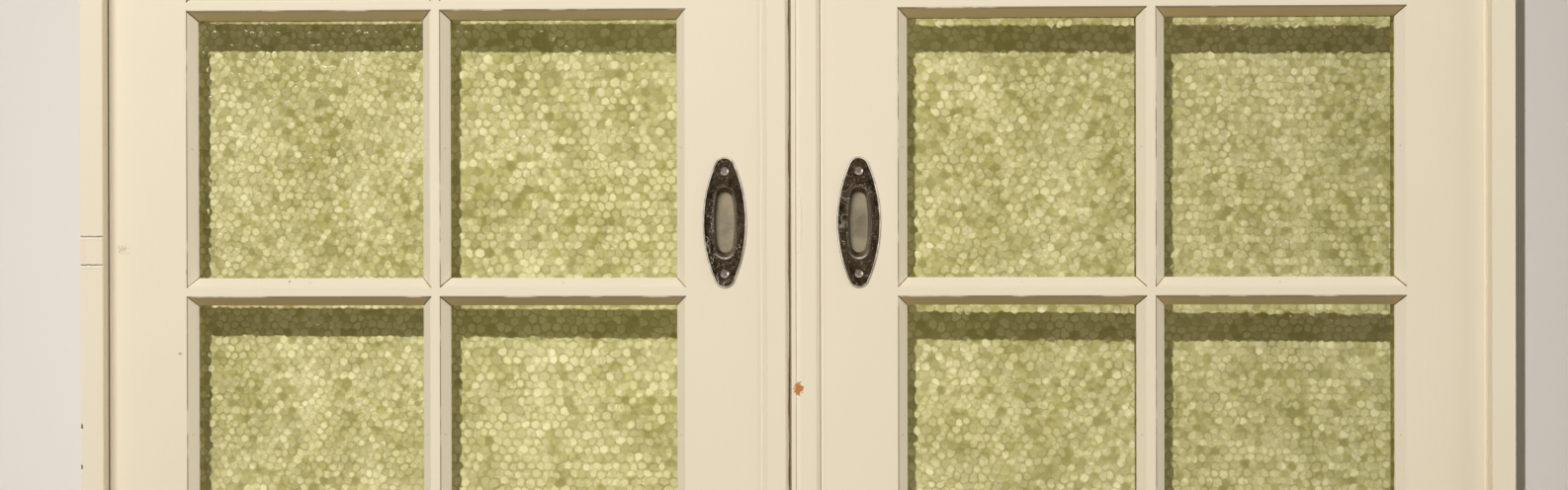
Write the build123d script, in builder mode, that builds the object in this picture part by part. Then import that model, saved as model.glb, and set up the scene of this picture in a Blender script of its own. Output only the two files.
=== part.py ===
"""A pair of glazed french doors hung in a rebated timber frame.

X runs to the right, Y away from the viewer and Z up, in millimetres. The origin is on
the floor, midway between the jambs and midway through the depth of frame and hinges.
Every piece is drawn for the right-hand side, where X is positive, and mirrored in the
YZ plane for the left.
"""

import os

from build123d import *

# Glazing
PANE_ROWS = 6
PANE_OPENING_WIDTH = 236.7
PANE_OPENING_HEIGHT = 267.0
GLASS_THICKNESS = 4.0
GLASS_EDGE_GAP = 1.5
REBATE_DEPTH = 15.0
LEDGE = 8.5

# Leaf members
LEAF_THICKNESS = 38.0
BAR_FLAT = 8.0
BACK_CHAMFER = 9.0
HINGE_STILE_FLAT = 75.6
MEETING_STILE_FLAT = 74.2
TOP_RAIL_FLAT = 110.0
BOTTOM_RAIL_FLAT = 263.5
TENON_THICKNESS = 12.0
TENON_LENGTH = 45.0
TENON_HAUNCH = 18.0
BAR_TENON_THICKNESS = 6.0
BAR_TENON_LENGTH = 3.5
TENON_CLEARANCE = 0.2

# Glazing beads
BEAD_WIDTH = 9.2
BEAD_FLAT = 1.2
BEAD_TOE = 2.0
BEAD_SETBACK = 0.3
BEAD_MITRE_GAP = 0.4

# Meeting strips and the lipping on the right-hand leaf
MEETING_ZONE = 53.8
MEETING_GAP = 2.2
LEFT_STRIP_WIDTH = 24.2
LIPPING_THICKNESS = 4.5
STRIP_PROJECTION = 5.0
STRIP_CHAMFER = 3.6
STRIP_TOP_GAP = 3.0
LIPPING_ROUND = 1.0

# Frame
JAMB_WEB = 10.6
FRAME_LAP = 8.0
LIP_DEPTH = 15.0
LIP_ARRIS = 0.8
STOP_GAP = 1.0
EDGE_GAP = 3.0
FLOOR_GAP = 8.0

# Block let into the face of the left jamb
BLOCK_HEIGHT = 27.4
BLOCK_WIDTH = 20.6
BLOCK_DEPTH = 9.0
BLOCK_BOTTOM = 1118.3
BLOCK_JOINT = 0.15

# Two chips broken out of the left jamb's outer front edge
UPPER_CHIP_BOTTOM = 953.0
UPPER_CHIP_HEIGHT = 9.5
LOWER_CHIP_BOTTOM = 918.0
LOWER_CHIP_HEIGHT = 5.7
CHIP_WIDTH = 2.2
CHIP_DEPTH = 6.0

# Hinges
HINGE_HEIGHT = 89.0
HINGE_PLATE_WIDTH = 30.0
HINGE_PLATE_THICKNESS = 2.2
HINGE_PLATE_GAP = 0.6
KNUCKLE_RADIUS = 5.0
KNUCKLE_GAP = 0.5
KNUCKLE_REACH = 0.5
KNUCKLES = 3
PIN_RADIUS = 2.5
PIN_CLEARANCE = 0.05
PIN_HEAD_RADIUS = 4.2
PIN_HEAD_HEIGHT = 2.5
PIN_TIP = 1.5
TOP_HINGE_DROP = 150.0
BOTTOM_HINGE_RISE = 225.0

# Flush pulls
PULL_HEIGHT = 125.0
PULL_WIDTH = 42.0
PULL_END_RADIUS = 10.0
PULL_PLATE = 2.4
PULL_BEVEL = 1.3
PULL_ABOVE_BAR = 66.0
BARS_BELOW_PULL = 3
CUP_MOUTH_HEIGHT = 67.0
CUP_MOUTH_WIDTH = 21.0
CUP_MOUTH_END_RADIUS = 8.5
CUP_FLOOR_HEIGHT = 57.0
CUP_FLOOR_WIDTH = 17.0
CUP_FLOOR_END_RADIUS = 6.8
CUP_DEPTH = 9.5
CUP_WALL = 1.2
CUP_LIP_WIDTH = 1.8
CUP_LIP_HEIGHT = 0.9
CUP_POCKET_GAP = 0.6
PULL_SCREW_SPACING = 98.0
PULL_SCREW_RADIUS = 1.6
PULL_SCREW_HEAD = 3.9
PULL_SCREW_DOME = 1.6
PULL_SCREW_CROWN = 2.4
PULL_SCREW_EDGE = 0.5
PULL_SCREW_LENGTH = 12.0

# Heights, from the floor up
leaf_bottom = FLOOR_GAP
glazing_bottom = leaf_bottom + BOTTOM_RAIL_FLAT
pane_pitch = PANE_OPENING_HEIGHT + BAR_FLAT
glazing_top = glazing_bottom + PANE_ROWS * pane_pitch - BAR_FLAT
leaf_top = glazing_top + TOP_RAIL_FLAT
head_rebate = leaf_top + EDGE_GAP
frame_top = head_rebate + JAMB_WEB
lip_bottom = leaf_top - FRAME_LAP
bar_heights = [glazing_bottom + n * pane_pitch - BAR_FLAT / 2 for n in range(1, PANE_ROWS)]
pane_heights = [
    glazing_bottom + n * pane_pitch + PANE_OPENING_HEIGHT / 2 for n in range(PANE_ROWS)
]
pull_height = glazing_bottom + BARS_BELOW_PULL * pane_pitch - BAR_FLAT / 2 + PULL_ABOVE_BAR

# Distances from the centre line of the pair
meeting_flat_edge = MEETING_ZONE / 2
glazing_inner = meeting_flat_edge + MEETING_STILE_FLAT
bar_centre = glazing_inner + PANE_OPENING_WIDTH + BAR_FLAT / 2
glazing_outer = glazing_inner + 2 * PANE_OPENING_WIDTH + BAR_FLAT
pane_centres = [
    glazing_inner + PANE_OPENING_WIDTH / 2,
    glazing_outer - PANE_OPENING_WIDTH / 2,
]
lip_inner = glazing_outer + HINGE_STILE_FLAT
leaf_outer = lip_inner + FRAME_LAP
jamb_rebate = leaf_outer + EDGE_GAP
frame_outer = jamb_rebate + JAMB_WEB
pull_centre = meeting_flat_edge + MEETING_STILE_FLAT / 2
left_meeting_edge = meeting_flat_edge - LEFT_STRIP_WIDTH
right_meeting_edge = MEETING_GAP - left_meeting_edge
lipping_back = right_meeting_edge + LIPPING_THICKNESS

# Depths, from front to back
knuckle_offset = KNUCKLE_RADIUS + KNUCKLE_REACH
total_depth = LIP_DEPTH + STOP_GAP + LEAF_THICKNESS + knuckle_offset + KNUCKLE_RADIUS
frame_front = -total_depth / 2
leaf_front = frame_front + LIP_DEPTH + STOP_GAP
leaf_back = leaf_front + LEAF_THICKNESS
rebate_back = leaf_front + REBATE_DEPTH
glass_front = rebate_back - GLASS_THICKNESS
strip_front = leaf_front - STRIP_PROJECTION
tenon_centre = (rebate_back + leaf_back - BACK_CHAMFER) / 2
pin_x = (leaf_outer + jamb_rebate) / 2
pin_y = leaf_back + knuckle_offset

# Hinges
hinge_centres = {
    "bottom": leaf_bottom + BOTTOM_HINGE_RISE,
    "middle": (leaf_bottom + BOTTOM_HINGE_RISE + leaf_top - TOP_HINGE_DROP) / 2,
    "top": leaf_top - TOP_HINGE_DROP,
}
knuckle_pitch = (HINGE_HEIGHT + KNUCKLE_GAP) / KNUCKLES
knuckle_height = knuckle_pitch - KNUCKLE_GAP
plate_inner = HINGE_PLATE_GAP / 2
plate_outer = plate_inner + HINGE_PLATE_THICKNESS


def handed(piece, side):
    """The right-hand piece as drawn, or its mirror image for the left-hand side."""
    if side == "right":
        return piece
    with BuildPart() as mirrored:
        add(piece)
        mirror(about=Plane.YZ, mode=Mode.REPLACE)
    return mirrored.part


def write(name, piece):
    """Label one finished piece and write its STEP file."""
    piece.label = name
    export_step(piece, f"parts/{name}.step")


def across_plane(x):
    """Section plane at x with height as its first direction and depth as its second.

    Its normal points to -X.
    """
    return Plane(origin=(x, 0, 0), x_dir=(0, 0, 1), z_dir=(-1, 0, 0))


def member_outline(glass_edge, outer_edge):
    """Section of a stile or rail: glazing rebate in front, chamfered ledge behind."""
    into = 1 if outer_edge > glass_edge else -1
    ledge_edge = glass_edge - into * LEDGE
    return [
        (glass_edge, leaf_front),
        (outer_edge, leaf_front),
        (outer_edge, leaf_back),
        (ledge_edge + into * BACK_CHAMFER, leaf_back),
        (ledge_edge, leaf_back - BACK_CHAMFER),
        (ledge_edge, rebate_back),
        (glass_edge, rebate_back),
    ]


def bar_outline(centre):
    """Section of a glazing bar: a rebate and a chamfered ledge on both sides."""
    half = BAR_FLAT / 2
    wide = half + LEDGE
    return [
        (centre - half, leaf_front),
        (centre + half, leaf_front),
        (centre + half, rebate_back),
        (centre + wide, rebate_back),
        (centre + wide, leaf_back - BACK_CHAMFER),
        (centre + wide - BACK_CHAMFER, leaf_back),
        (centre - wide + BACK_CHAMFER, leaf_back),
        (centre - wide, leaf_back - BACK_CHAMFER),
        (centre - wide, rebate_back),
        (centre - half, rebate_back),
    ]


def rail_tenon_span(glass_edge, outer_edge):
    """Lower and upper ends of a rail's tenon, set back by a haunch from its outer edge."""
    into = 1 if outer_edge > glass_edge else -1
    return sorted((glass_edge + into * TENON_CLEARANCE, outer_edge - into * TENON_HAUNCH))


rail_spans = {
    "bottom": rail_tenon_span(glazing_bottom, leaf_bottom),
    "top": rail_tenon_span(glazing_top, leaf_top),
}


def cut_rail_mortises(glass_edge, into):
    """Mortises in a stile for the tenons of both rails, open through its ledge."""
    start = glass_edge - into * LEDGE
    length = TENON_LENGTH + LEDGE
    for low, high in rail_spans.values():
        with Locations((start + into * length / 2, tenon_centre, (low + high) / 2)):
            Box(length, TENON_THICKNESS, high - low, mode=Mode.SUBTRACT)


def cut_bar_mortises(ledge_edge, into):
    """Shallow mortises in the ledge of an upright for the cross bars' stub tenons."""
    x = ledge_edge + into * BAR_TENON_LENGTH / 2
    with Locations(*[(x, tenon_centre, z) for z in bar_heights]):
        Box(BAR_TENON_LENGTH, BAR_TENON_THICKNESS, BAR_FLAT, mode=Mode.SUBTRACT)


def hinge_plate_box(x_from_pin, mode):
    """Recess for the three hinge plates in a stile's edge or a jamb's rebate."""
    y = leaf_back - HINGE_PLATE_WIDTH / 2
    with Locations(*[(pin_x + x_from_pin, y, z) for z in hinge_centres.values()]):
        Box(HINGE_PLATE_THICKNESS, HINGE_PLATE_WIDTH, HINGE_HEIGHT, mode=mode)


def make_hinge_stile():
    with BuildPart() as stile:
        with BuildSketch(Plane.XY.offset(leaf_bottom)):
            with BuildLine():
                Polyline(*member_outline(glazing_outer, leaf_outer), close=True)
            make_face()
        extrude(amount=leaf_top - leaf_bottom)
        cut_rail_mortises(glazing_outer, 1)
        cut_bar_mortises(glazing_outer - LEDGE, 1)
        hinge_plate_box(-(plate_inner + plate_outer) / 2, Mode.SUBTRACT)
    return stile.part


def pull_plane(face, offset=0.0):
    """Plane on the front or back of the meeting stile, its normal out of the wood."""
    if face == "front":
        return Plane(
            origin=(pull_centre, leaf_front - offset, pull_height),
            x_dir=(1, 0, 0),
            z_dir=(0, -1, 0),
        )
    return Plane(
        origin=(pull_centre, leaf_back + offset, pull_height),
        x_dir=(-1, 0, 0),
        z_dir=(0, 1, 0),
    )


def oval_arcs(height, width, end_radius, grown=0.0):
    """Four tangent arcs of an upright oval, each as start, middle and end points.

    grown widens the oval all round.
    """
    half_height = height / 2 + grown
    half_width = width / 2 + grown
    end_centre = height / 2 - end_radius
    radius = end_radius + grown
    side_radius = (end_centre**2 + half_width**2 - radius**2) / (2 * (half_width - radius))
    share = radius / (side_radius - radius)
    x = share * (side_radius - half_width)
    y = end_centre * (1 + share)
    return [
        ((x, -y), (half_width, 0), (x, y)),
        ((x, y), (0, half_height), (-x, y)),
        ((-x, y), (-half_width, 0), (-x, -y)),
        ((-x, -y), (0, -half_height), (x, -y)),
    ]


def mouth_arcs(grown=0.0):
    return oval_arcs(CUP_MOUTH_HEIGHT, CUP_MOUTH_WIDTH, CUP_MOUTH_END_RADIUS, grown)


def floor_arcs(grown=0.0):
    return oval_arcs(CUP_FLOOR_HEIGHT, CUP_FLOOR_WIDTH, CUP_FLOOR_END_RADIUS, grown)


pull_screw_places = [(0, -PULL_SCREW_SPACING / 2), (0, PULL_SCREW_SPACING / 2)]
cup_drop = CUP_DEPTH - PULL_PLATE - CUP_LIP_HEIGHT


def make_meeting_stile(edge):
    """Meeting stile, rebated for glass, with a pocket and screw holes for each pull."""
    pocket = CUP_WALL + CUP_POCKET_GAP
    with BuildPart() as stile:
        with BuildSketch(Plane.XY.offset(leaf_bottom)):
            with BuildLine():
                Polyline(*member_outline(glazing_inner, edge), close=True)
            make_face()
        extrude(amount=leaf_top - leaf_bottom)
        cut_rail_mortises(glazing_inner, -1)
        cut_bar_mortises(glazing_inner + LEDGE, -1)
        for face in ("front", "back"):
            with BuildSketch(pull_plane(face)):
                with BuildLine():
                    for arc in mouth_arcs(pocket):
                        ThreePointArc(*arc)
                make_face()
            extrude(amount=-(cup_drop + pocket), mode=Mode.SUBTRACT)
            with BuildSketch(pull_plane(face)):
                with Locations(*pull_screw_places):
                    Circle(PULL_SCREW_RADIUS)
            extrude(amount=-PULL_SCREW_LENGTH, mode=Mode.SUBTRACT)
    return stile.part


def make_rail(glass_edge, outer_edge, stiles):
    """Rail between the stiles, its shoulders scribed over their ledges."""
    low, high = rail_tenon_span(glass_edge, outer_edge)
    length = glazing_outer - glazing_inner
    tenon_length = length + 2 * (TENON_LENGTH - TENON_CLEARANCE)
    middle = (glazing_inner + glazing_outer) / 2
    into = 1 if outer_edge > glass_edge else -1
    with BuildPart() as rail:
        with BuildSketch(across_plane(glazing_outer)):
            with BuildLine():
                Polyline(*member_outline(glass_edge, outer_edge), close=True)
            make_face()
        extrude(amount=length)
        for stile in stiles:
            add(stile, mode=Mode.SUBTRACT)
        with Locations((middle, tenon_centre, (low + high) / 2)):
            Box(
                tenon_length,
                TENON_THICKNESS - 2 * TENON_CLEARANCE,
                high - low - 2 * TENON_CLEARANCE,
            )
        bar_tenon = glass_edge + into * (BAR_TENON_LENGTH / 2 - LEDGE)
        with Locations((bar_centre, tenon_centre, bar_tenon)):
            Box(BAR_FLAT, BAR_TENON_THICKNESS, BAR_TENON_LENGTH, mode=Mode.SUBTRACT)
    return rail.part


def make_vertical_bar(rails):
    """Upright glazing bar, in one length, scribed over the rails' ledges."""
    height = glazing_top - glazing_bottom
    tenon_height = height - 2 * (LEDGE - BAR_TENON_LENGTH + TENON_CLEARANCE)
    with BuildPart() as bar:
        with BuildSketch(Plane.XY.offset(glazing_bottom)):
            with BuildLine():
                Polyline(*bar_outline(bar_centre), close=True)
            make_face()
        extrude(amount=height)
        for rail in rails:
            add(rail, mode=Mode.SUBTRACT)
        with Locations((bar_centre, tenon_centre, glazing_bottom + height / 2)):
            Box(
                BAR_FLAT - 2 * TENON_CLEARANCE,
                BAR_TENON_THICKNESS - 2 * TENON_CLEARANCE,
                tenon_height,
            )
        cut_bar_mortises(bar_centre - BAR_FLAT / 2 - LEDGE, 1)
        cut_bar_mortises(bar_centre + BAR_FLAT / 2 + LEDGE, -1)
    return bar.part


def make_cross_bars(uprights):
    """Short glazing bars, two to a row, scribed over the uprights' ledges."""
    spans = [
        (glazing_inner, glazing_inner + PANE_OPENING_WIDTH),
        (glazing_outer - PANE_OPENING_WIDTH, glazing_outer),
    ]
    tenon_inset = LEDGE - BAR_TENON_LENGTH + TENON_CLEARANCE
    with BuildPart() as bars:
        for start, end in spans:
            with BuildSketch(across_plane(end)):
                for z in bar_heights:
                    with BuildLine():
                        Polyline(*bar_outline(z), close=True)
                    make_face()
            extrude(amount=end - start)
        for upright in uprights:
            add(upright, mode=Mode.SUBTRACT)
        for start, end in spans:
            with Locations(*[((start + end) / 2, tenon_centre, z) for z in bar_heights]):
                Box(
                    end - start - 2 * tenon_inset,
                    BAR_TENON_THICKNESS - 2 * TENON_CLEARANCE,
                    BAR_FLAT - 2 * TENON_CLEARANCE,
                )
    return bars.part


def make_bead(length):
    """One glazing bead along X, centred, its outer edge on Z = 0 and its toe below.

    Both ends are mitred, and each stands back by half of the mitre joint.
    """
    half = length / 2 - BEAD_MITRE_GAP / 2
    with BuildPart() as bead:
        with BuildSketch(Plane(origin=(half, 0, 0), x_dir=(0, 0, -1), z_dir=(-1, 0, 0))):
            with BuildLine():
                Polyline(
                    (0, -(leaf_front + BEAD_SETBACK)),
                    (BEAD_FLAT, -(leaf_front + BEAD_SETBACK)),
                    (BEAD_WIDTH, -(glass_front - BEAD_TOE)),
                    (BEAD_WIDTH, -glass_front),
                    (0, -glass_front),
                    close=True,
                )
            make_face()
        extrude(amount=2 * half)
        split(bisect_by=Plane(origin=(half, 0, 0), z_dir=(1, 0, -1)), keep=Keep.BOTTOM)
        split(bisect_by=Plane(origin=(-half, 0, 0), z_dir=(-1, 0, -1)), keep=Keep.BOTTOM)
    return bead.part


def make_glazing_beads():
    """Four mitred beads round each pane."""
    wide = make_bead(PANE_OPENING_WIDTH)
    tall = make_bead(PANE_OPENING_HEIGHT)
    half_width = PANE_OPENING_WIDTH / 2
    half_height = PANE_OPENING_HEIGHT / 2
    with BuildPart() as beads:
        for x in pane_centres:
            for z in pane_heights:
                with Locations((x, 0, z + half_height)):
                    add(wide)
                with Locations((x, 0, z - half_height)):
                    add(wide, rotation=(0, 180, 0))
                with Locations((x - half_width, 0, z)):
                    add(tall, rotation=(0, -90, 0))
                with Locations((x + half_width, 0, z)):
                    add(tall, rotation=(0, 90, 0))
    return beads.part


def make_pane_row(height):
    """The two panes of one row, bedded on the ledges."""
    with BuildPart() as row:
        with Locations(*[(x, glass_front + GLASS_THICKNESS / 2, height) for x in pane_centres]):
            Box(
                PANE_OPENING_WIDTH - 2 * GLASS_EDGE_GAP,
                GLASS_THICKNESS,
                PANE_OPENING_HEIGHT - 2 * GLASS_EDGE_GAP,
            )
    return row.part


def make_meeting_strip(edge, edge_chamfer):
    """Strip planted on a meeting stile, chamfered on its stile side and, by
    edge_chamfer, on its meeting side."""
    with BuildPart() as strip:
        with BuildSketch(Plane.XY.offset(leaf_bottom)) as outline:
            with BuildLine():
                Polyline(
                    (meeting_flat_edge, leaf_front),
                    (meeting_flat_edge, strip_front),
                    (edge, strip_front),
                    (edge, leaf_front),
                    close=True,
                )
            make_face()
            front_corners = outline.vertices().group_by(Axis.Y)[0].sort_by(Axis.X)
            chamfer(front_corners[-1], length=STRIP_CHAMFER)
            if edge_chamfer:
                chamfer(front_corners[0], length=edge_chamfer)
        extrude(amount=lip_bottom - STRIP_TOP_GAP - leaf_bottom)
    return strip.part


def make_lipping():
    """Lipping on the meeting edge of the right-hand leaf, flush with its strip."""
    with BuildPart() as lipping:
        with BuildSketch(Plane.XY.offset(leaf_bottom)) as outline:
            with BuildLine():
                Polyline(
                    (right_meeting_edge, strip_front),
                    (lipping_back, strip_front),
                    (lipping_back, leaf_back),
                    (right_meeting_edge, leaf_back),
                    close=True,
                )
            make_face()
            corner = outline.vertices().group_by(Axis.Y)[0].sort_by(Axis.X)[0]
            fillet(corner, radius=LIPPING_ROUND)
        extrude(amount=leaf_top - leaf_bottom)
        with Locations((lipping_back, strip_front, leaf_top)):
            Box(
                4 * LIPPING_THICKNESS,
                2 * STRIP_PROJECTION,
                2 * (FRAME_LAP + STRIP_TOP_GAP),
                mode=Mode.SUBTRACT,
            )
    return lipping.part


def make_pull(face):
    """Oval flush pull: bevelled plate, raised lip and a tapered finger cup."""
    with BuildPart() as pull:
        with BuildSketch(pull_plane(face)):
            with BuildLine():
                for arc in oval_arcs(PULL_HEIGHT, PULL_WIDTH, PULL_END_RADIUS):
                    ThreePointArc(*arc)
            make_face()
        extrude(amount=PULL_PLATE)
        rim = pull.faces().filter_by(Axis.Y).sort_by(Axis.Y)
        outer = rim[0] if face == "front" else rim[-1]
        chamfer(outer.edges(), length=PULL_BEVEL)
        with BuildSketch(pull_plane(face, PULL_PLATE)):
            with BuildLine():
                for arc in mouth_arcs(CUP_LIP_WIDTH):
                    ThreePointArc(*arc)
            make_face()
        extrude(amount=CUP_LIP_HEIGHT)
        with BuildSketch(pull_plane(face)):
            with BuildLine():
                for arc in mouth_arcs(CUP_WALL):
                    ThreePointArc(*arc)
            make_face()
        with BuildSketch(pull_plane(face, -cup_drop - CUP_WALL)):
            with BuildLine():
                for arc in floor_arcs(CUP_WALL):
                    ThreePointArc(*arc)
            make_face()
        loft(ruled=True)
        with BuildSketch(pull_plane(face, PULL_PLATE + CUP_LIP_HEIGHT)):
            with BuildLine():
                for arc in mouth_arcs():
                    ThreePointArc(*arc)
            make_face()
        with BuildSketch(pull_plane(face, -cup_drop)):
            with BuildLine():
                for arc in floor_arcs():
                    ThreePointArc(*arc)
            make_face()
        loft(ruled=True, mode=Mode.SUBTRACT)
        with BuildSketch(pull_plane(face)):
            with Locations(*pull_screw_places):
                Circle(PULL_SCREW_RADIUS)
        extrude(amount=PULL_PLATE, mode=Mode.SUBTRACT)
    return pull.part


def make_pull_screw():
    """Raised-head screw on Z, its head resting on Z = 0."""
    with BuildPart() as screw:
        with BuildSketch(Plane.XZ):
            with BuildLine():
                Polyline(
                    (0, PULL_SCREW_DOME),
                    (PULL_SCREW_CROWN, PULL_SCREW_DOME),
                    (PULL_SCREW_HEAD, PULL_SCREW_EDGE),
                    (PULL_SCREW_HEAD, 0),
                    (PULL_SCREW_RADIUS, 0),
                    (PULL_SCREW_RADIUS, -(PULL_SCREW_LENGTH + PULL_PLATE)),
                    (0, -(PULL_SCREW_LENGTH + PULL_PLATE)),
                    close=True,
                )
            make_face()
        revolve(axis=Axis.Z)
    return screw.part


def make_pull_screws():
    screw = make_pull_screw()
    with BuildPart() as screws:
        for face, turn in (("front", 90), ("back", -90)):
            outside = leaf_front - PULL_PLATE if face == "front" else leaf_back + PULL_PLATE
            heights = [pull_height + z for _, z in pull_screw_places]
            with Locations(*[(pull_centre, outside, z) for z in heights]):
                add(screw, rotation=(turn, 0, 0))
    return screws.part


def make_hinge_leaf(height, part):
    """One leaf of a butt hinge: "frame" has the end knuckles, "door" those between."""
    out = 1 if part == "frame" else -1
    first = 0 if part == "frame" else 1
    bottom = height - HINGE_HEIGHT / 2
    starts = [bottom + n * knuckle_pitch for n in range(first, KNUCKLES, 2)]
    plate_x = pin_x + out * (plate_inner + plate_outer) / 2
    with BuildPart() as leaf:
        with BuildSketch(Plane.XY.offset(bottom)):
            with Locations((plate_x, leaf_back - HINGE_PLATE_WIDTH / 2)):
                Rectangle(HINGE_PLATE_THICKNESS, HINGE_PLATE_WIDTH)
        extrude(amount=HINGE_HEIGHT)
        for start in starts:
            with BuildSketch(Plane.XY.offset(start)):
                with Locations((pin_x, pin_y)):
                    Circle(KNUCKLE_RADIUS)
                with Locations((plate_x, (leaf_back + pin_y) / 2)):
                    Rectangle(HINGE_PLATE_THICKNESS, knuckle_offset)
                with Locations((pin_x, pin_y)):
                    Circle(PIN_RADIUS + PIN_CLEARANCE, mode=Mode.SUBTRACT)
            extrude(amount=knuckle_height)
    return leaf.part


def make_hinge_pins():
    """One pin for each hinge, its head resting on the top knuckle."""
    with BuildPart() as pins:
        for height in hinge_centres.values():
            top = height + HINGE_HEIGHT / 2
            with BuildSketch(Plane.XY.offset(height - HINGE_HEIGHT / 2 - PIN_TIP)):
                with Locations((pin_x, pin_y)):
                    Circle(PIN_RADIUS)
            extrude(amount=HINGE_HEIGHT + PIN_TIP)
            with BuildSketch(Plane.XY.offset(top)):
                with Locations((pin_x, pin_y)):
                    Circle(PIN_HEAD_RADIUS)
            extrude(amount=PIN_HEAD_HEIGHT)
    return pins.part


def frame_outline(outer, lip, rebate):
    """Section of a jamb or the head: a web beside the leaf and a lip in front of it."""
    return [
        (outer, frame_front),
        (lip + LIP_ARRIS, frame_front),
        (lip, frame_front + LIP_ARRIS),
        (lip, frame_front + LIP_DEPTH),
        (rebate, frame_front + LIP_DEPTH),
        (rebate, leaf_back),
        (outer, leaf_back),
    ]


def mitre_plane(side):
    """Plane of the mitre between a jamb and the head, its normal down and outwards."""
    return Plane(origin=(side * frame_outer, 0, frame_top), z_dir=(side, 0, -1))


def make_jamb():
    with BuildPart() as jamb:
        with BuildSketch(Plane.XY):
            with BuildLine():
                Polyline(*frame_outline(frame_outer, lip_inner, jamb_rebate), close=True)
            make_face()
        extrude(amount=frame_top)
        split(bisect_by=mitre_plane(1), keep=Keep.TOP)
        hinge_plate_box((plate_inner + plate_outer) / 2, Mode.SUBTRACT)
    return jamb.part


def make_repair_block():
    """Block let into the outer edge of the left jamb's face, drawn on the right."""
    with BuildPart() as block:
        with BuildSketch(Plane.XZ.offset(-frame_front)):
            with Locations((frame_outer - BLOCK_WIDTH / 2, BLOCK_BOTTOM + BLOCK_HEIGHT / 2)):
                Rectangle(BLOCK_WIDTH - BLOCK_JOINT, BLOCK_HEIGHT - 2 * BLOCK_JOINT)
        extrude(amount=-BLOCK_DEPTH)
    return block.part


def make_left_jamb():
    """Left jamb with the block's housing cut in its face and two chips off its edge."""
    chips = (
        (UPPER_CHIP_BOTTOM, UPPER_CHIP_HEIGHT),
        (LOWER_CHIP_BOTTOM, LOWER_CHIP_HEIGHT),
    )
    with BuildPart() as jamb:
        add(handed(make_jamb(), "left"))
        with BuildSketch(Plane.XZ.offset(-frame_front)):
            with Locations((-frame_outer + BLOCK_WIDTH / 2, BLOCK_BOTTOM + BLOCK_HEIGHT / 2)):
                Rectangle(BLOCK_WIDTH, BLOCK_HEIGHT)
        extrude(amount=-BLOCK_DEPTH, mode=Mode.SUBTRACT)
        for bottom, height in chips:
            with BuildSketch(Plane.XY.offset(bottom)):
                with BuildLine():
                    Polyline(
                        (-frame_outer, frame_front),
                        (-frame_outer + CHIP_WIDTH, frame_front),
                        (-frame_outer, frame_front + CHIP_DEPTH),
                        close=True,
                    )
                make_face()
            extrude(amount=height, mode=Mode.SUBTRACT)
    return jamb.part


def make_head():
    """Head of the frame, of the jambs' section, mitred to both."""
    with BuildPart() as head:
        with BuildSketch(across_plane(frame_outer)):
            with BuildLine():
                Polyline(*frame_outline(frame_top, lip_bottom, head_rebate), close=True)
            make_face()
        extrude(amount=2 * frame_outer)
        split(bisect_by=mitre_plane(1), keep=Keep.BOTTOM)
        split(bisect_by=mitre_plane(-1), keep=Keep.BOTTOM)
    return head.part


os.makedirs("parts", exist_ok=True)

# Frame
write("left_jamb", make_left_jamb())
write("right_jamb", make_jamb())
write("head", make_head())
write("jamb_repair_block", handed(make_repair_block(), "left"))

# Hinges
for side in ("left", "right"):
    write(f"{side}_hinge_pins", handed(make_hinge_pins(), side))
    for place, height in hinge_centres.items():
        for part in ("frame", "door"):
            leaf = handed(make_hinge_leaf(height, part), side)
            write(f"{side}_{place}_hinge_{part}_leaf", leaf)

# Leaves
hinge_stile = make_hinge_stile()
meeting_stiles = {
    "left": make_meeting_stile(left_meeting_edge),
    "right": make_meeting_stile(lipping_back),
}
strips = {
    "left": make_meeting_strip(left_meeting_edge, STRIP_CHAMFER),
    "right": make_meeting_strip(lipping_back, 0),
}
stiles = [hinge_stile, meeting_stiles["left"]]
top_rail = make_rail(glazing_top, leaf_top, stiles)
bottom_rail = make_rail(glazing_bottom, leaf_bottom, stiles)
vertical_bar = make_vertical_bar([top_rail, bottom_rail])
shared = {
    "hinge_stile": hinge_stile,
    "top_rail": top_rail,
    "bottom_rail": bottom_rail,
    "vertical_bar": vertical_bar,
    "cross_bars": make_cross_bars(stiles + [vertical_bar]),
    "glazing_beads": make_glazing_beads(),
    "front_pull": make_pull("front"),
    "back_pull": make_pull("back"),
    "pull_screws": make_pull_screws(),
}
for row, height in enumerate(pane_heights, start=1):
    shared[f"panes_row_{row}"] = make_pane_row(height)
for side in ("left", "right"):
    pieces = {"meeting_stile": meeting_stiles[side], "meeting_strip": strips[side], **shared}
    for name, piece in pieces.items():
        write(f"{side}_{name}", handed(piece, side))
write("right_meeting_lipping", make_lipping())
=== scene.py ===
"""Glazed french doors in their frame: finish, glass, wear, light and camera."""

import math

import bpy
import numpy as np
from mathutils import Matrix, Vector


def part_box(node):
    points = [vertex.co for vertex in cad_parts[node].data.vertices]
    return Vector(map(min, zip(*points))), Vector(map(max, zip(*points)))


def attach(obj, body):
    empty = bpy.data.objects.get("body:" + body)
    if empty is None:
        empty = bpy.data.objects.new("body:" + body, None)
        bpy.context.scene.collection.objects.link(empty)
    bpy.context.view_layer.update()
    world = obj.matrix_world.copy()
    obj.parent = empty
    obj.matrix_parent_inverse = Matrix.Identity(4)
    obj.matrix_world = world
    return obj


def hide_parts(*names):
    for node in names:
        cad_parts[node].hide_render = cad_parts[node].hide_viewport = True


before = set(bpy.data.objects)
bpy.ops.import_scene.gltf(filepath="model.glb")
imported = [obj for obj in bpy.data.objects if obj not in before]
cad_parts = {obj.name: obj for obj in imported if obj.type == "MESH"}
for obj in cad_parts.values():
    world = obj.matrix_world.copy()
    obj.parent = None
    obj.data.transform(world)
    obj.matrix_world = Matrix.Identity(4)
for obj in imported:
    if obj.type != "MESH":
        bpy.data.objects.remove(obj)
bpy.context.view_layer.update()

# Sizes in metres, read from the frame
LEAF_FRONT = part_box("left_hinge_stile")[0].y
LEAF_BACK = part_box("left_hinge_stile")[1].y
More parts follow.
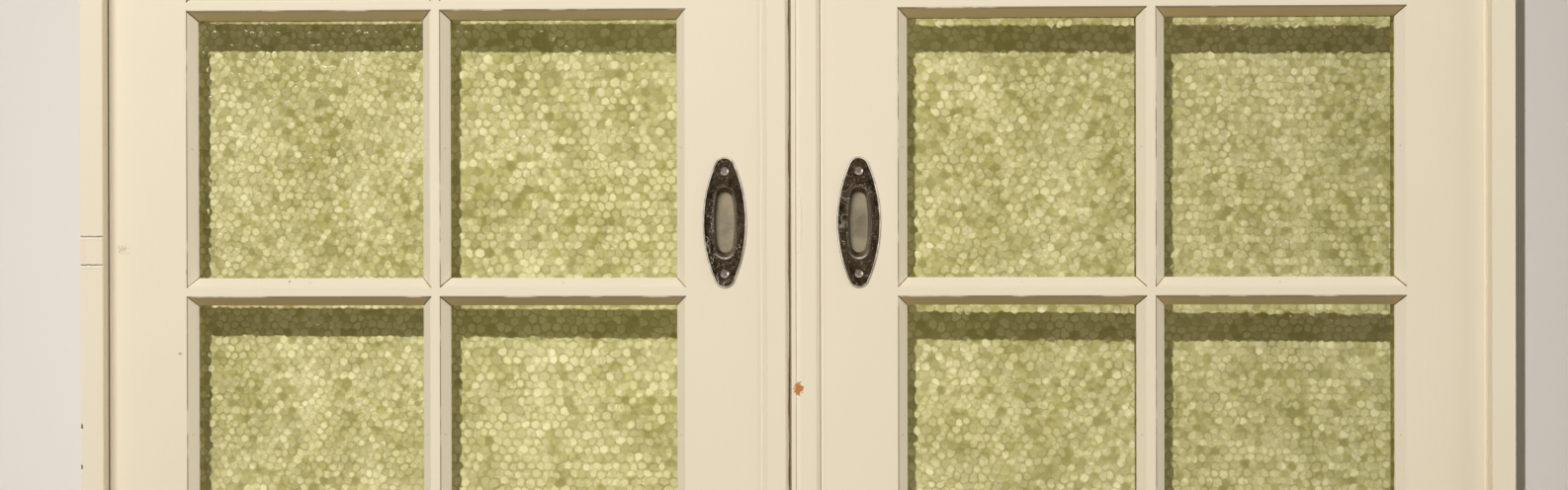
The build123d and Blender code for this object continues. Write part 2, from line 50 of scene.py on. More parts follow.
LEAF_MIDDLE = (LEAF_FRONT + LEAF_BACK) / 2
GLASS_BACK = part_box("left_panes_row_1")[1].y
FRAME_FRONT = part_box("head")[0].y
LIP_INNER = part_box("right_jamb")[0].x
STRIP_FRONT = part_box("left_meeting_strip")[0].y
LEFT_STRIP_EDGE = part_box("left_meeting_strip")[1].x
RIGHT_STRIP_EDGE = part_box("right_meeting_strip")[0].x
MEETING_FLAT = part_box("right_meeting_strip")[1].x
BEADS_LOW, BEADS_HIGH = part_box("right_glazing_beads")
BLOCK_LOW, BLOCK_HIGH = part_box("jamb_repair_block")
PULL_LOW, PULL_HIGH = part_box("right_front_pull")
PULL_X = (PULL_LOW.x + PULL_HIGH.x) / 2
PULL_Z = (PULL_LOW.z + PULL_HIGH.z) / 2

# The grid of panes
PANE_ROWS = 6
PANE_COLUMNS = 2
BAR_FLAT = 0.008
PANE_PITCH_X = (BEADS_HIGH.x - BEADS_LOW.x + BAR_FLAT) / PANE_COLUMNS
PANE_PITCH_Z = (BEADS_HIGH.z - BEADS_LOW.z + BAR_FLAT) / PANE_ROWS
OPENING_X = PANE_PITCH_X - BAR_FLAT
OPENING_Z = PANE_PITCH_Z - BAR_FLAT
BEAD_WIDTH = 0.0092
GLASS_EDGE_GAP = 0.0015
EDGE_MARGIN = 0.0004
SIDES = ("left", "right")

# Camera, fitted to the corners of the glazing bars
CAMERA_PLACE = Vector((0.052, -2.094, 1.144))
CAMERA_YAW = math.radians(1.638)
CAMERA_PITCH = math.radians(-0.197)
CAMERA_ROLL = math.radians(0.12)
CAMERA_LENS_MM = 50.0
SENSOR_MM = 36.0

# Stage
WALL_PLACE = 0.95
WALL_WIDTH = 5.0
WALL_HEIGHT = 3.0
WALL_TURN = math.radians(11.0)
WALL_ROUGHNESS = 0.8
FLOOR_WIDTH = 40.0
FLOOR_ROUGHNESS = 0.7

# Lamps: places, aims and sizes in metres, powers in watts. The key and the wall lamp
# share one place, just over the camera. The strips reach only the two front pulls.
AIM = (0.0, 0.0, 1.1)
CAMERA_LAMP_OFFSET = Vector((-0.024, 0.0, 0.104))
KEY = dict(target=(-0.6, 0.0, 1.1), size=(0.009, 0.009), power=10.0, colour=(1.0, 0.97, 0.92))
WALL_LAMP = dict(
    target=(0.1, WALL_PLACE, 0.85), size=(0.003, 0.003), power=66.5, colour=(1.0, 0.98, 0.96)
)
SOFT = dict(
    place=(-2.1, -5.0, 4.0), target=AIM, size=(2.6, 2.0), power=275.0, colour=(1.0, 0.985, 0.96)
)
FILL = dict(
    place=(3.6, -1.1, 1.4), target=AIM, size=(2.0, 2.4), power=34.0, colour=(1.0, 0.97, 0.90)
)
OVERHEAD = dict(
    place=(0.0, 0.0, 7.0), target=(0, 0, 0), size=(16.0, 16.0), power=900.0, colour=(1.0, 0.98, 0.95)
)
REAR = dict(
    place=(1.2, 3.6, 3.2), target=AIM, size=(2.0, 2.0), power=60.0, colour=(1.0, 0.98, 0.96)
)
STRIP = dict(size=(0.014, 1.5), power=0.22, colour=(1.0, 0.95, 0.88))
STRIP_PLACES_X = (-0.23, 0.08)
STRIP_PLACE_Y = -3.0

# World: heights from straight down (0) to straight up (1), their colours, and what a
# camera sees of it
WORLD_HEIGHTS = (0.25, 0.5, 0.8)
WORLD_COLOURS = ((0.065, 0.040, 0.010), (0.12, 0.108, 0.09), (0.24, 0.235, 0.225))
WORLD_SEEN = (0.60, 0.585, 0.56)

# Colours, linear
CREAM = (0.82, 0.745, 0.59)
CREAM_DEEP = (0.77, 0.67, 0.49)
CREAM_PINK = (0.83, 0.69, 0.53)
CREAM_PALE = (0.90, 0.82, 0.66)
CRACK_DARK = (0.13, 0.095, 0.055)
CRACK_BROWN = (0.34, 0.16, 0.07)
BARE_WOOD = (0.50, 0.20, 0.05)
DIRT = (0.42, 0.33, 0.22)
EDGE_SHADE = (0.17, 0.12, 0.075)
SCUFF = (0.60, 0.52, 0.42)
UNDERSIDE_SHADE = (0.50, 0.375, 0.16)
LEDGE_SHADE = (0.30, 0.25, 0.14)
PUTTY = (0.90, 0.86, 0.74)
GLASS_DEEP = (0.39, 0.375, 0.09)
GLASS_TINT = (0.71, 0.69, 0.285)
GLASS_PALE = (1.0, 0.985, 0.56)
LAMPLIGHT_DEEP = (0.54, 0.54, 0.50)
LAMPLIGHT_TINT = (0.84, 0.84, 0.86)
LAMPLIGHT_PALE = (1.12, 1.12, 1.24)
PLATE_DARK = (0.105, 0.072, 0.044)
PLATE_SPECK = (0.66, 0.58, 0.46)
RIM_BRIGHT = (0.92, 0.88, 0.80)
CUP_SATIN = (0.39, 0.34, 0.24)
CUP_DARK = (0.21, 0.18, 0.125)
SCREW_METAL = (0.58, 0.53, 0.45)
STEEL = (0.42, 0.40, 0.37)
WALL = (0.80, 0.765, 0.73)
FLOOR = (0.72, 0.70, 0.66)

SEED = 11

# What a noise pattern mostly stays between
NOISE_LOW = 0.3
NOISE_HIGH = 0.7


def feed(tree, value, socket):
    """Link a socket, or set a number or a colour."""
    if isinstance(value, bpy.types.NodeSocket):
        tree.links.new(value, socket)
    elif isinstance(value, tuple) and len(value) == 3 and len(socket.default_value) == 4:
        socket.default_value = (*value, 1.0)
    else:
        socket.default_value = value


def new_material(name):
    """A material of one Principled shader: the material, its tree and the shader."""
    material = bpy.data.materials.new(name)
    material.use_nodes = True
    tree = material.node_tree
    tree.nodes.clear()
    output = tree.nodes.new("ShaderNodeOutputMaterial")
    shader = tree.nodes.new("ShaderNodeBsdfPrincipled")
    feed(tree, shader.outputs["BSDF"], output.inputs["Surface"])
    return material, tree, shader


def let_through(tree, shader, factor, colour):
    """Let light of this colour straight through the shader where factor is 1."""
    clear = tree.nodes.new("ShaderNodeBsdfTransparent")
    feed(tree, colour, clear.inputs["Color"])
    mix = tree.nodes.new("ShaderNodeMixShader")
    feed(tree, factor, mix.inputs["Fac"])
    feed(tree, shader.outputs["BSDF"], mix.inputs[1])
    feed(tree, clear.outputs["BSDF"], mix.inputs[2])
    feed(tree, mix.outputs["Shader"], tree.nodes["Material Output"].inputs["Surface"])


def axes(tree, kind="Object"):
    """Three coordinates as separate sockets: Object, Normal or Generated ones."""
    place = tree.nodes.new("ShaderNodeTexCoord")
    split = tree.nodes.new("ShaderNodeSeparateXYZ")
    feed(tree, place.outputs[kind], split.inputs["Vector"])
    return split.outputs["X"], split.outputs["Y"], split.outputs["Z"]


def noise(tree, scale, detail=3.0, roughness=0.55, stretch=(1, 1, 1)):
    """Noise over the object's coordinates, stretched axis by axis."""
    place = tree.nodes.new("ShaderNodeTexCoord")
    mapping = tree.nodes.new("ShaderNodeMapping")
    mapping.inputs["Scale"].default_value = stretch
    feed(tree, place.outputs["Object"], mapping.inputs["Vector"])
    node = tree.nodes.new("ShaderNodeTexNoise")
    node.inputs["Scale"].default_value = scale
    node.inputs["Detail"].default_value = detail
    node.inputs["Roughness"].default_value = roughness
    feed(tree, mapping.outputs["Vector"], node.inputs["Vector"])
    return node.outputs["Fac"]


def ramp(tree, value, positions, colours):
    """Colour ramp with these colours at these positions."""
    node = tree.nodes.new("ShaderNodeValToRGB")
    elements = node.color_ramp.elements
    while len(elements) < len(positions):
        elements.new(0.5)
    for element, position, colour in zip(elements, positions, colours):
        element.position = position
        element.color = (*colour, 1.0)
    feed(tree, value, node.inputs["Fac"])
    return node.outputs["Color"]


def remap(tree, value, low, high, to_low=0.0, to_high=1.0):
    """Value from low to high brought to the range from to_low to to_high, and no further."""
    node = tree.nodes.new("ShaderNodeMapRange")
    bounds = (("From Min", low), ("From Max", high), ("To Min", to_low), ("To Max", to_high))
    for name, bound in bounds:
        node.inputs[name].default_value = bound
    feed(tree, value, node.inputs["Value"])
    return node.outputs["Result"]


def sway(tree, value, reach):
    """Noise brought to shifts of up to reach to either side."""
    return remap(tree, value, NOISE_LOW, NOISE_HIGH, -reach, reach)


def tint(tree, factor, first, second):
    """Mix of two colours, each a socket or a plain colour."""
    node = tree.nodes.new("ShaderNodeMix")
    node.data_type = "RGBA"
    feed(tree, factor, node.inputs[0])
    feed(tree, first, node.inputs[6])
    feed(tree, second, node.inputs[7])
    return node.outputs[2]


def maths(tree, operation, *values):
    """Result of one operation on sockets or numbers."""
    node = tree.nodes.new("ShaderNodeMath")
    node.operation = operation
    for socket, value in zip(node.inputs, values):
        feed(tree, value, socket)
    return node.outputs[0]


def plus(tree, first, second):
    return maths(tree, "ADD", first, second)


def minus(tree, first, second):
    return maths(tree, "SUBTRACT", first, second)


def times(tree, first, second):
    return maths(tree, "MULTIPLY", first, second)


def bump(tree, height, distance, strength=1.0, after=None):
    """Relief of this height, on top of the relief in after."""
    node = tree.nodes.new("ShaderNodeBump")
    node.inputs["Distance"].default_value = distance
    node.inputs["Strength"].default_value = strength
    feed(tree, height, node.inputs["Height"])
    if after is not None:
        feed(tree, after, node.inputs["Normal"])
    return node.outputs["Normal"]


# How far from its middle an oval mark ends and is full, in half-axes
OVAL_EDGE = (1.05, 0.85)


def spot(tree, centre, size, ragged=0.3, grain=900.0):
    """Mask that is 1 inside an uneven oval of half-axes size at centre."""
    place = tree.nodes.new("ShaderNodeTexCoord")
    shift = tree.nodes.new("ShaderNodeMapping")
    shift.vector_type = "TEXTURE"
    shift.inputs["Location"].default_value = centre
    shift.inputs["Scale"].default_value = size
    feed(tree, place.outputs["Object"], shift.inputs["Vector"])
    length = tree.nodes.new("ShaderNodeVectorMath")
    length.operation = "LENGTH"
    feed(tree, shift.outputs["Vector"], length.inputs[0])
    uneven = sway(tree, noise(tree, grain, 2.0), ragged)
    return remap(tree, plus(tree, length.outputs["Value"], uneven), *OVAL_EDGE)


def band(tree, value, middle, half, soft):
    """Mask that is 1 where value lies within half of middle."""
    gap = maths(tree, "ABSOLUTE", minus(tree, value, middle))
    return remap(tree, gap, half + soft, half)


def stroke(tree, value, place, line, direction=1):
    """Band beside a place. line is the band's distance, half width and soft edge."""
    distance, half, soft = line
    return band(tree, value, place + direction * distance, half, soft)


def ledge_edges(tree):
    """Mask of the ledges' and bars' narrow inner edges behind the glass, which are painted dark as
    shade.
    """
    x, y, _ = axes(tree)
    deep = maths(tree, "GREATER_THAN", y, GLASS_BACK + EDGE_MARGIN)
    before_back = maths(tree, "LESS_THAN", y, LEAF_BACK - EDGE_MARGIN)
    half = (BEADS_HIGH.x - BEADS_LOW.x) / 2
    from_middle = maths(tree, "ABSOLUTE", x)
    glazed = band(tree, from_middle, BEADS_LOW.x + half, half - EDGE_MARGIN, EDGE_MARGIN)
    return times(tree, times(tree, deep, before_back), glazed)


# Enamel. Noise patterns are scale, detail and roughness; shares are ranges for remap.
ENAMEL_SPECULAR = 0.35
BRUSH_STRETCH = 9.0
BRUSH = (38.0, 4.0, 0.6)
YELLOWING = (3.2, 3.0)
SKIN = (420.0, 2.0)
YELLOWING_SHARE = (0.3, 0.75, 0.0, 0.4)
BRUSH_SHARE = (0.35, 0.75, 0.0, 0.16)
BRUSH_RELIEF = (0.00022, 0.6)
SKIN_RELIEF = (0.00008, 0.35)
ENAMEL_ROUGHNESS = (0.36, 0.52)


def enamel(name, grain, marks=(), extra=None):
    """Old brushed cream enamel. grain is the brushing direction, X or Z.

    marks are (centre, half-axes, colour, ragged) ovals of scuffed or filled paint.
    extra(tree, colour, relief) adds what only one member has.
    """
    material, tree, shader = new_material(name)
    shader.inputs["Specular IOR Level"].default_value = ENAMEL_SPECULAR
    along_x, along_z = (BRUSH_STRETCH, 1.0) if grain == "Z" else (1.0, BRUSH_STRETCH)
    brush = noise(tree, *BRUSH, stretch=(along_x, BRUSH_STRETCH, along_z))
    yellowing = remap(tree, noise(tree, *YELLOWING), *YELLOWING_SHARE)
    colour = tint(tree, yellowing, CREAM, CREAM_DEEP)
    colour = tint(tree, remap(tree, brush, *BRUSH_SHARE), colour, CREAM_DEEP)
    relief = bump(tree, brush, *BRUSH_RELIEF)
    relief = bump(tree, noise(tree, *SKIN), *SKIN_RELIEF, relief)
    for centre, size, mark, ragged in marks:
        colour = tint(tree, spot(tree, centre, size, ragged), colour, mark)
    # Painted shade: the narrow inner edges behind the glass are darkened.
    colour = tint(tree, ledge_edges(tree), colour, LEDGE_SHADE)
    if extra is not None:
        colour, relief = extra(tree, colour, relief)
    feed(tree, colour, shader.inputs["Base Color"])
    rough = remap(tree, brush, NOISE_LOW, NOISE_HIGH, *ENAMEL_ROUGHNESS)
    feed(tree, rough, shader.inputs["Roughness"])
    feed(tree, relief, shader.inputs["Normal"])
    return material


# Wear and painted shade of the beads, in metres where it has a size
DOWNWARD_SHADE = (-0.3, -0.6, 0.0, 0.9)
MITRE_CORNERS = (9.0, 2.0)
MITRE_WAVER = (520.0, 2.0)
MITRE_WIDTH = (0.35, 0.62, 0.0005, 0.0016)
MITRE_EDGE = (0.0002, 0.0)
EDGE_PATCHES = (24.0, 3.0)
EDGE_PATCH_SHARE = (0.36, 0.46, 0.35, 1.0)
LEFT_EDGE = (0.0014, 0.0008)
TOP_EDGE = (0.0020, 0.0012)
EDGE_SHARE = 0.85
HOLE_PLACE = 0.52
HOLE_EDGE = (0.0011, 0.0007)
HOLE_SHARE = 0.35
HOLE_RELIEF = (-0.0002, 0.8)


def opened_mitres(tree, from_side, from_end):
    """Mask of the mitres, opened further at some corners than at others."""
    corner = noise(tree, *MITRE_CORNERS)
    width = times(tree, remap(tree, corner, *MITRE_WIDTH), noise(tree, *MITRE_WAVER))
    off_mitre = maths(tree, "ABSOLUTE", minus(tree, from_side, from_end))
    return remap(tree, minus(tree, off_mitre, width), *MITRE_EDGE)


def shaded_edges(tree, x, in_x, in_z):
    """Mask of the broken line of painted shade at the left and the top of each pane's beads."""
    patches = remap(tree, noise(tree, *EDGE_PATCHES), *EDGE_PATCH_SHARE)
    on_right = maths(tree, "GREATER_THAN", x, 0.0)
    far_side = minus(tree, OPENING_X, in_x)
    swap = times(tree, on_right, minus(tree, in_x, far_side))
    left_edge = remap(tree, plus(tree, far_side, swap), *LEFT_EDGE)
    top_edge = remap(tree, minus(tree, OPENING_Z, in_z), *TOP_EDGE)
    return times(tree, maths(tree, "MAXIMUM", left_edge, top_edge), patches)


def bead_wear(tree, colour, relief):
    """Painted shade on the undersides, opened mitres, a broken line of painted shade along the
    edges, and nail holes.
    """
    _, _, up = axes(tree, "Normal")
    # Painted shade: faces that point down are darkened towards brown.
    colour = tint(tree, remap(tree, up, *DOWNWARD_SHADE), colour, UNDERSIDE_SHADE)
    x, _, z = axes(tree)
    along_x = minus(tree, maths(tree, "ABSOLUTE", x), BEADS_LOW.x)
    in_x = maths(tree, "FLOORED_MODULO", along_x, PANE_PITCH_X)
    in_z = maths(tree, "FLOORED_MODULO", minus(tree, z, BEADS_LOW.z), PANE_PITCH_Z)
    from_side = maths(tree, "MINIMUM", in_x, minus(tree, OPENING_X, in_x))
    from_end = maths(tree, "MINIMUM", in_z, minus(tree, OPENING_Z, in_z))
    lower = maths(tree, "LESS_THAN", in_z, OPENING_Z / 2)
    crack = tint(tree, lower, CRACK_DARK, CRACK_BROWN)
    colour = tint(tree, opened_mitres(tree, from_side, from_end), colour, crack)
    edge = times(tree, shaded_edges(tree, x, in_x, in_z), EDGE_SHARE)
    # Painted shade along the left and the top edges of each pane.
    colour = tint(tree, edge, colour, EDGE_SHADE)
    beads_of_a_pane = ((in_x, OPENING_X / 2, from_end), (in_z, OPENING_Z / 2, from_side))
    for line, middle, across in beads_of_a_pane:
        off = minus(tree, line, middle)
        side = minus(tree, across, BEAD_WIDTH * HOLE_PLACE)
        square = plus(tree, times(tree, off, off), times(tree, side, side))
        hole = remap(tree, maths(tree, "SQRT", square), *HOLE_EDGE)
        colour = tint(tree, times(tree, hole, HOLE_SHARE), colour, DIRT)
        relief = bump(tree, hole, *HOLE_RELIEF, relief)
    return colour, relief


# Joints of the repair block: each line is its distance, half width and soft edge
JOINT_WAVER = (260.0, 3.0)
JOINT_SWAY = 0.0004
JOINT_SHADE = (0.0007, 0.0004, 0.0005)
JOINT_SHADE_SHARE = 0.8
JOINT_RIDGE = (-0.0014, 0.0006, 0.0008)
JOINT_RIDGE_HIGHLIGHT_SHARE = 0.7
JOINT_RELIEF = (0.0003, 0.8)


def block_joints(tree, colour, relief):
    """Painted shade in the repair block's two joints, and a ridge of paint under each with a painted
    highlight.
    """
    x, y, z = axes(tree)
    height = plus(tree, z, sway(tree, noise(tree, *JOINT_WAVER), JOINT_SWAY))
    on_face = maths(tree, "LESS_THAN", y, FRAME_FRONT + EDGE_MARGIN)
    on_left = times(tree, maths(tree, "LESS_THAN", x, 0.0), on_face)
    for joint in (BLOCK_LOW.z, BLOCK_HIGH.z):
        joint_shade = times(tree, stroke(tree, height, joint, JOINT_SHADE), on_left)
        ridge = times(tree, stroke(tree, height, joint, JOINT_RIDGE), on_left)
        # Painted shade in each joint, and a painted highlight on the ridge of paint under it.
        colour = tint(tree, times(tree, joint_shade, JOINT_SHADE_SHARE), colour, EDGE_SHADE)
        colour = tint(tree, times(tree, ridge, JOINT_RIDGE_HIGHLIGHT_SHARE), colour, CREAM_PALE)
        relief = bump(tree, ridge, *JOINT_RELIEF, relief)
    return colour, relief


# Thick paint beside an edge, painted highlight and shadow: each line is its distance, half width and
# soft edge
RIDGE_WAVER = (60.0, 3.0)
RIDGE_STRETCH = (1, 1, 0.25)
RIDGE_SWAY = 0.0004
RIDGE = (0.0020, 0.0005, 0.0009)
RIDGE_HIGHLIGHT_SHARE = 0.7
RIDGE_RELIEF = (0.0004, 0.8)
RIDGE_SHADOW = (0.0046, 0.0010, 0.0014)
EDGE_CRACK = (0.0002, 0.0004, 0.0003)


def edge_ridges(edges):
    """Ridges of thick paint beside upright edges, with painted highlights and painted shadows.

    edges are (x, direction of the paint, share of the crack, share of the painted shadow).
    """

    def add(tree, colour, relief):
        x, _, _ = axes(tree)
        waver = noise(tree, *RIDGE_WAVER, stretch=RIDGE_STRETCH)
        across = plus(tree, x, sway(tree, waver, RIDGE_SWAY))
        for place, direction, crack_share, painted_shadow_share in edges:
            ridge = stroke(tree, across, place, RIDGE, direction)
            painted_shadow = stroke(tree, across, place, RIDGE_SHADOW, direction)
            crack = stroke(tree, x, place, EDGE_CRACK, direction)
            # Painted highlight on the ridge, and painted shadow in the band beside it.
            colour = tint(tree, times(tree, ridge, RIDGE_HIGHLIGHT_SHARE), colour, CREAM_PALE)
            colour = tint(tree, times(tree, painted_shadow, painted_shadow_share), colour, CREAM_DEEP)
            relief = bump(tree, ridge, *RIDGE_RELIEF, relief)
            colour = tint(tree, times(tree, crack, crack_share), colour, CRACK_DARK)
        return colour, relief

    return add


# Wear of the meeting strips, and a painted highlight on the right one. Chips and joint are half
# width and soft edge, the pale highlight line has its place before them, and ovals are centre,
# half-axes, ragged and grain.
STRIP_WAVER = (120.0, 3.0)
STRIP_STRETCH = (1, 1, 0.3)
STRIP_SWAY = 0.0005
LEFT_CHIPS = (0.0003, 0.0006)
LEFT_CHIP_PATCHES = (16.0, 2.0)
LEFT_CHIP_SHARE = (0.42, 0.56)
RIGHT_JOINT = (0.0002, 0.0002)
RIGHT_JOINT_SHARE = 0.85
PALE_HIGHLIGHT = (0.0062, 0.0012, 0.0012)
PALE_HIGHLIGHT_SHARE = 0.5
WRINKLE = (1.0, 2.0)
WRINKLE_STRETCH = (420.0, 1.0, 170.0)
WRINKLE_RELIEF = 0.0006
WRINKLED_OVAL = ((0.0052, STRIP_FRONT, 1.160), (0.004, 0.01, 0.030), 0.25, 120.0)
BARE_OVAL = ((0.0062, STRIP_FRONT, 1.000), (0.0042, 0.01, 0.0062), 0.45, 420.0)


def wavering_x(tree, x):
    """X, shifted a little to and fro on the way up."""
    waver = noise(tree, *STRIP_WAVER, stretch=STRIP_STRETCH)
    return plus(tree, x, sway(tree, waver, STRIP_SWAY))


def left_strip_wear(tree, colour, relief):
    """Chips along the meeting edge of the left strip."""
    x, _, _ = axes(tree)
    edge = band(tree, wavering_x(tree, x), LEFT_STRIP_EDGE, *LEFT_CHIPS)
    reflected = remap(tree, noise(tree, *LEFT_CHIP_PATCHES), *LEFT_CHIP_SHARE)
    return tint(tree, times(tree, edge, reflected), colour, CRACK_BROWN), relief


def right_strip_wear(tree, colour, relief):
    """A dirty joint, a pale line of painted highlight, wrinkled paint and a bare spot on the right
    strip.
    """
    x, _, _ = axes(tree)
    joint = times(tree, band(tree, x, RIGHT_STRIP_EDGE, *RIGHT_JOINT), RIGHT_JOINT_SHARE)
    colour = tint(tree, joint, colour, CRACK_BROWN)
    # Painted highlight: a pale line along the edge beside the joint.
    pale = times(tree, band(tree, wavering_x(tree, x), *PALE_HIGHLIGHT), PALE_HIGHLIGHT_SHARE)
    colour = tint(tree, pale, colour, CREAM_PALE)
    wrinkle = noise(tree, *WRINKLE, stretch=WRINKLE_STRETCH)
    wrinkled = times(tree, wrinkle, spot(tree, *WRINKLED_OVAL))
    relief = bump(tree, wrinkled, WRINKLE_RELIEF, 1.0, relief)
    return tint(tree, spot(tree, *BARE_OVAL), colour, BARE_WOOD), relief


# Cast glass. Each mark has its own number from 0 to 1, its shade. The fraction that is
# left of shade times SHUFFLE gives a second one. Shares are ranges for remap.
GLASS_IOR = 1.032
GLASS_ROUGHNESS = 0.04
GLASS_COAT = 0.8
GLASS_COAT_ROUGHNESS = 0.12
FINE_MOTTLE = (420.0, 3.0, 0.6)
FINE_SHARE = 0.08
SHUFFLE = 7.3
SMALLER_DISC = 0.36
DISC_EDGE = (0.04, 0.3)
FUSED_MARKS = (85.0, 2.0)
FUSED_SHARE = (0.52, 0.64, 0.0, 0.55)
DARK_MARKS = (0.04, 0.3, -0.14, 0.34)
BRIGHT_MARKS = (0.3, 1.0, 0.0, 0.42)
BROAD_MOTTLE = (14.0, 2.0)
BROAD_SHARE = (0.35, 0.65, -0.08, 0.08)
BETWEEN_MARKS = 0.18
MOTTLE_STOPS = (0.08, 0.5, 1.0)


def hammered_glass():
    """Yellow-green cast glass, its colour mottled with painted light and shade where its marks focus
    the light, and whose marks also pattern the lamplight that comes through.
    """
    material, tree, shader = new_material("hammered_glass")
    shader.inputs["Transmission Weight"].default_value = 1.0
    shader.inputs["IOR"].default_value = GLASS_IOR
    shader.inputs["Roughness"].default_value = GLASS_ROUGHNESS
    shader.inputs["Coat Weight"].default_value = GLASS_COAT
    shader.inputs["Coat Roughness"].default_value = GLASS_COAT_ROUGHNESS
    values = []
    for word in ("lump", "shade"):
        attribute = tree.nodes.new("ShaderNodeAttribute")
        attribute.attribute_name = word
        values.append(attribute.outputs["Fac"])
    lump, shade = values
    fine = sway(tree, noise(tree, *FINE_MOTTLE), FINE_SHARE)
    shuffled = maths(tree, "FRACT", times(tree, shade, SHUFFLE))
    disc = remap(tree, minus(tree, lump, times(tree, shuffled, SMALLER_DISC)), *DISC_EDGE)
    disc = maths(tree, "MAXIMUM", disc, remap(tree, noise(tree, *FUSED_MARKS), *FUSED_SHARE))
    depth = plus(tree, remap(tree, shade, *DARK_MARKS), remap(tree, shade, *BRIGHT_MARKS))
    broad = remap(tree, noise(tree, *BROAD_MOTTLE), *BROAD_SHARE)
    mottle = maths(tree, "MULTIPLY_ADD", disc, depth, BETWEEN_MARKS)
    mottle = plus(tree, mottle, plus(tree, fine, broad))
    # Painted light and shade: pale discs and dark gaps in the glass's own colour, where its marks
    # focus the light.
    colour = ramp(tree, mottle, MOTTLE_STOPS, (GLASS_DEEP, GLASS_TINT, GLASS_PALE))
    feed(tree, colour, shader.inputs["Base Color"])
    lamplight_colours = (LAMPLIGHT_DEEP, LAMPLIGHT_TINT, LAMPLIGHT_PALE)
    lamplight = ramp(tree, mottle, MOTTLE_STOPS, lamplight_colours)
    path = tree.nodes.new("ShaderNodeLightPath")
    let_through(tree, shader, path.outputs["Is Shadow Ray"], lamplight)
    return material


# Plain metals
TARNISH = (90.0, 4.0, 0.6)
TARNISH_SHARE = (0.35, 0.7, 0.0, 0.25)
TARNISH_DULL = 0.55
POLISHED = 0.8
TARNISHED = 1.35
METAL_SPECKS = (900.0, 2.0)
METAL_RELIEF = (0.00006, 0.4)


def metal(name, colour, roughness):
    """Aged plated metal with uneven tarnish."""
    material, tree, shader = new_material(name)
    shader.inputs["Metallic"].default_value = 1.0
    tarnish = noise(tree, *TARNISH)
    dull = tuple(channel * TARNISH_DULL for channel in colour)
    amount = remap(tree, tarnish, *TARNISH_SHARE)
    feed(tree, tint(tree, amount, colour, dull), shader.inputs["Base Color"])
    bounds = (NOISE_LOW, NOISE_HIGH, roughness * POLISHED, roughness * TARNISHED)
    feed(tree, remap(tree, tarnish, *bounds), shader.inputs["Roughness"])
    specks = noise(tree, *METAL_SPECKS)
    feed(tree, bump(tree, specks, *METAL_RELIEF), shader.inputs["Normal"])
    return material


# Pull plates: sizes in metres, and ranges for remap. The cup's reach is the half-axes
# of the oval round it.
CUP_REACH_X = 0.0125
CUP_REACH_Z = 0.037
CUP_LIP_HEIGHT = 0.0009
CUP_DEPTH = 0.0095
PLATE_SPECKS = (620.0, 3.0, 0.7)
PLATE_CLOUD = (60.0, 4.0, 0.6)
PITS = (0.54, 0.65)
PITTED_AREAS = (0.4, 0.6, 0.3, 1.0)
SLANTED = (0.97, 0.85)
RIM_START = 0.00115
RIM_FULL = 0.0009
LIP_START = 0.0002
LIP_FULL = 0.0005
LIP_REFLECTION = (-0.95, -0.75, 0.75, 0.16)
STREAK_CONTOURS = (50.0, 1.0)
STREAK = (0.5, 0.006, 0.010)
STREAK_PATCHES = (36.0, 1.0)
STREAK_SHARE = (0.53, 0.60, 0.0, 0.6)
REFLECTION_BREAKUP = (0.38, 0.58, 0.3, 1.0)
FLOOR_START = 0.0016
FLOOR_FULL = 0.0006
FLOOR_MIDDLE = (0.45, 0.0, 0.0, 0.5)
FLOOR_SMUDGES = (0.35, 0.65, -0.3, 0.4)
PLATE_ROUGHNESS = (0.05, 0.12)
CUP_FLOOR_ROUGHNESS = 0.62
BRIGHT_ROUGHNESS = 0.42
BRIGHT_METALLIC = 0.3
PLATE_WAVES = (38.0, 2.0)
PLATE_WAVE_RELIEF = 0.0004
PLATE_SPECK_RELIEF = (0.00005, 0.35)


def reflected_bright(tree, out, plate_face, reach, along, cloud):
    """Masks of the painted reflections on the rim, the lower cup lip and in streaks: whole, and
    broken into patches.
    """
    _, facing, _ = axes(tree, "Normal")
    slant = remap(tree, maths(tree, "ABSOLUTE", facing), *SLANTED)
    rim = times(tree, slant, maths(tree, "GREATER_THAN", reach, 1.0))
    rim = times(tree, rim, remap(tree, out, plate_face - RIM_START, plate_face - RIM_FULL))
    lip = remap(tree, out, plate_face + LIP_START, plate_face + LIP_FULL)
    lip = times(tree, lip, remap(tree, along, *LIP_REFLECTION))
    streak = band(tree, noise(tree, *STREAK_CONTOURS), *STREAK)
    streak = times(tree, streak, remap(tree, noise(tree, *STREAK_PATCHES), *STREAK_SHARE))
    bright = maths(tree, "MAXIMUM", maths(tree, "MAXIMUM", rim, lip), streak)
    return bright, times(tree, bright, remap(tree, cloud, *REFLECTION_BREAKUP))


